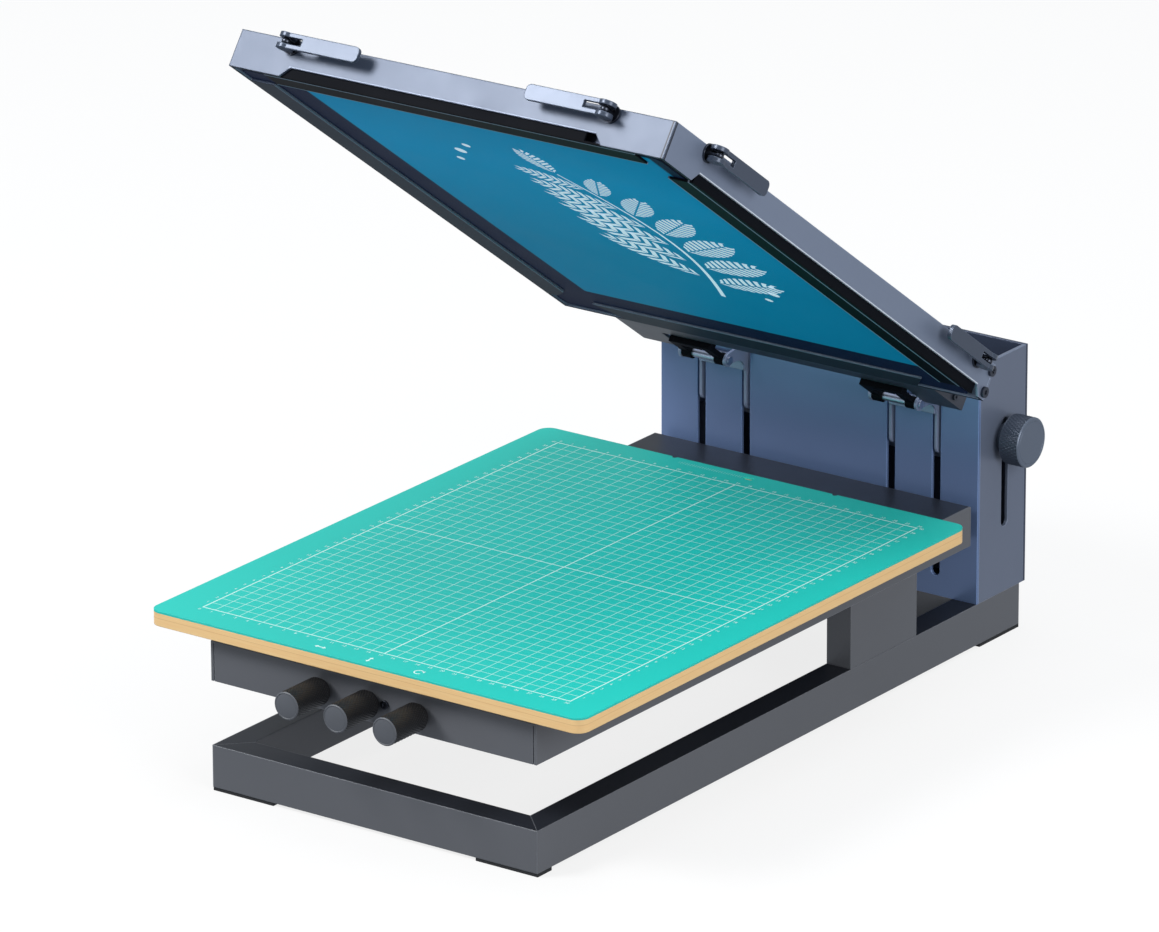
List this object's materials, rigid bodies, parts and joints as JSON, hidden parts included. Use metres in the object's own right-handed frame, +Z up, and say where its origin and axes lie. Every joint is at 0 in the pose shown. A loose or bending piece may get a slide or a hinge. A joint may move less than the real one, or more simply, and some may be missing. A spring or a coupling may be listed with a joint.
{
  "type": "tabletop screen printing press",
  "caption": "Tabletop screen printing press with tilting screen holder, height carriage and knob-adjusted ruled platen.",
  "frame": {"origin": "bottom centre of the bounding box of the whole press, holder raised as at rest", "axes": "+X to the operator's right, +Y from the front knobs to the tower, +Z up"},
  "size_m": [0.3657, 0.6148, 0.5052],
  "materials": {
    "coat_grey": "fine satin powder coat",
    "coat_blue": "fine satin powder coat, bluish in this light",
    "coat_black": "black satin coat",
    "steel": "bright zinc",
    "aluminium": "mill finish",
    "brass": "turned",
    "knob_black": "moulded, knurled",
    "rubber": "dull",
    "board": "sealed plywood board",
    "mat": "satin ruled mat",
    "mesh": "stretched mesh with a coated emulsion"
  },
  "bodies": {
    "frame": {"base_rail_front": "coat_grey", "base_rail_left": "coat_grey", "base_rail_right": "coat_grey", "base_rail_rear": "coat_grey", "rubber_feet": "rubber", "pedestal_left": "coat_grey", "pedestal_right": "coat_grey", "carrier_tray": "coat_grey", "stage_guide_pegs": "steel", "screw_bearing_bars": "aluminium", "tray_screw": "steel", "tower_front": "coat_grey", "tower_rear": "coat_grey", "tower_left": "coat_grey", "tower_right": "coat_grey"},
    "stage_side": {"stage_plate_side": "aluminium"},
    "stage_turn": {"stage_plate_turning": "aluminium"},
    "platen": {"stage_plate_fore_aft": "aluminium", "platen_board": "board", "platen_mat": "mat"},
    "knob_x": {"adjust_knob_x": "knob_black", "leadscrew_x": "steel"},
    "knob_y": {"adjust_knob_y": "knob_black", "leadscrew_y": "steel"},
    "knob_theta": {"adjust_knob_theta": "knob_black", "leadscrew_theta": "steel"},
    "nut_x": {"drive_nut_x": "brass"},
    "nut_y": {"drive_nut_y": "brass"},
    "nut_theta": {"drive_nut_theta": "brass"},
    "carriage": {"carriage_beam": "aluminium", "hinge_bracket_left": "steel", "hinge_bracket_right": "steel", "hinge_pins": "steel"},
    "side_clamp": {"side_clamp_screw": "steel", "side_knob": "knob_black"},
    "holder": {"holder_wall_front": "coat_blue", "holder_wall_left": "coat_blue", "holder_wall_right": "coat_blue", "holder_wall_rear": "coat_blue", "ledge_bar_front": "coat_black", "ledge_bar_right": "coat_black", "hinge_channel": "coat_blue", "hinge_leaves": "coat_black", "screen_rail_front": "aluminium", "screen_rail_left": "aluminium", "screen_rail_right": "aluminium", "screen_rail_rear": "aluminium", "screen_mesh": "mesh", "holder_screws": "steel", "clamp_washers": "steel", "clamp_stud_front_left": "steel", "clamp_stud_front_right": "steel", "clamp_stud_right_front": "steel", "clamp_stud_right_rear": "steel"},
    "lever_front_left": {"clamp_lever_front_left": "steel"},
    "lever_front_right": {"clamp_lever_front_right": "steel"},
    "lever_right_front": {"clamp_lever_right_front": "steel"},
    "lever_right_rear": {"clamp_lever_right_rear": "steel"}
  },
  "joints": [
    {"name": "stage_side_slide", "type": "slide", "parent": "frame", "child": "stage_side", "axis": [1, 0, 0], "range_m": [-0.004, 0.004]},
    {"name": "stage_turn_pivot", "type": "hinge", "parent": "stage_side", "child": "stage_turn", "pos_m": [-0.00545, -0.19735, 0.1095], "axis": [0, 0, 1], "range_deg": [-1.5, 1.5]},
    {"name": "stage_fore_aft_slide", "type": "slide", "parent": "stage_turn", "child": "platen", "axis": [0, 1, 0], "range_m": [-0.005, 0.005]},
    {"name": "knob_x_turn", "type": "hinge", "parent": "frame", "child": "knob_x", "pos_m": [-0.04545, -0.26735, 0.093], "axis": [0, 1, 0], "range_deg": [-1200.5, 1200.5]},
    {"name": "knob_y_turn", "type": "hinge", "parent": "frame", "child": "knob_y", "pos_m": [-0.00545, -0.26735, 0.093], "axis": [0, 1, 0], "range_deg": [-450.5, 450.5]},
    {"name": "knob_theta_turn", "type": "hinge", "parent": "frame", "child": "knob_theta", "pos_m": [0.03455, -0.26735, 0.093], "axis": [0, 1, 0], "range_deg": [-94.4, 94.4]},
    {"name": "nut_x_slide", "type": "slide", "parent": "frame", "child": "nut_x", "axis": [0, 1, 0], "range_m": [-0.01335, 0.01335]},
    {"name": "nut_y_slide", "type": "slide", "parent": "frame", "child": "nut_y", "axis": [0, 1, 0], "range_m": [-0.00501, 0.00501]},
    {"name": "nut_theta_slide", "type": "slide", "parent": "frame", "child": "nut_theta", "axis": [0, 1, 0], "range_m": [-0.00106, 0.00106]},
    {"name": "height_slide", "type": "slide", "parent": "frame", "child": "carriage", "axis": [0, 0, 1], "range_m": [-0.055, 0.008]},
    {"name": "side_knob_turn", "type": "hinge", "parent": "carriage", "child": "side_clamp", "pos_m": [0.13455, 0.28025, 0.1456], "axis": [1, 0, 0], "range_deg": [0, 360]},
    {"name": "holder_tilt", "type": "hinge", "parent": "carriage", "child": "holder", "pos_m": [-0.00545, 0.22465, 0.1785], "axis": [-1, 0, 0], "range_deg": [-35.7, 44]},
    {"name": "lever_front_left_swing", "type": "hinge", "parent": "holder", "child": "lever_front_left", "pos_m": [-0.13645, -0.17967, 0.49801], "axis": [0, -0.5838, -0.8119], "range_deg": [0, 100]},
    {"name": "lever_front_right_swing", "type": "hinge", "parent": "holder", "child": "lever_front_right", "pos_m": [0.12005, -0.17967, 0.49801], "axis": [0, 0.5838, 0.8119], "range_deg": [0, 100]},
    {"name": "lever_right_front_swing", "type": "hinge", "parent": "holder", "child": "lever_right_front", "pos_m": [0.17805, -0.13502, 0.4659], "axis": [0, -0.5838, -0.8119], "range_deg": [0, 100]},
    {"name": "lever_right_rear_swing", "type": "hinge", "parent": "holder", "child": "lever_right_rear", "pos_m": [0.17805, 0.18121, 0.2385], "axis": [0, 0.5838, 0.8119], "range_deg": [0, 100]}
  ],
  "couplings": [
    {"joint": "knob_x_turn", "follows": "stage_side_slide", "rad_per_m": -5236},
    {"joint": "nut_x_slide", "follows": "stage_side_slide", "ratio": 3.3333},
    {"joint": "knob_y_turn", "follows": "stage_fore_aft_slide", "rad_per_m": -1570.8},
    {"joint": "nut_y_slide", "follows": "stage_fore_aft_slide", "ratio": 1},
    {"joint": "nut_theta_slide", "follows": "stage_turn_pivot", "m_per_rad": 0.04},
    {"joint": "knob_theta_turn", "follows": "stage_turn_pivot", "ratio": -62.832}
  ]
}
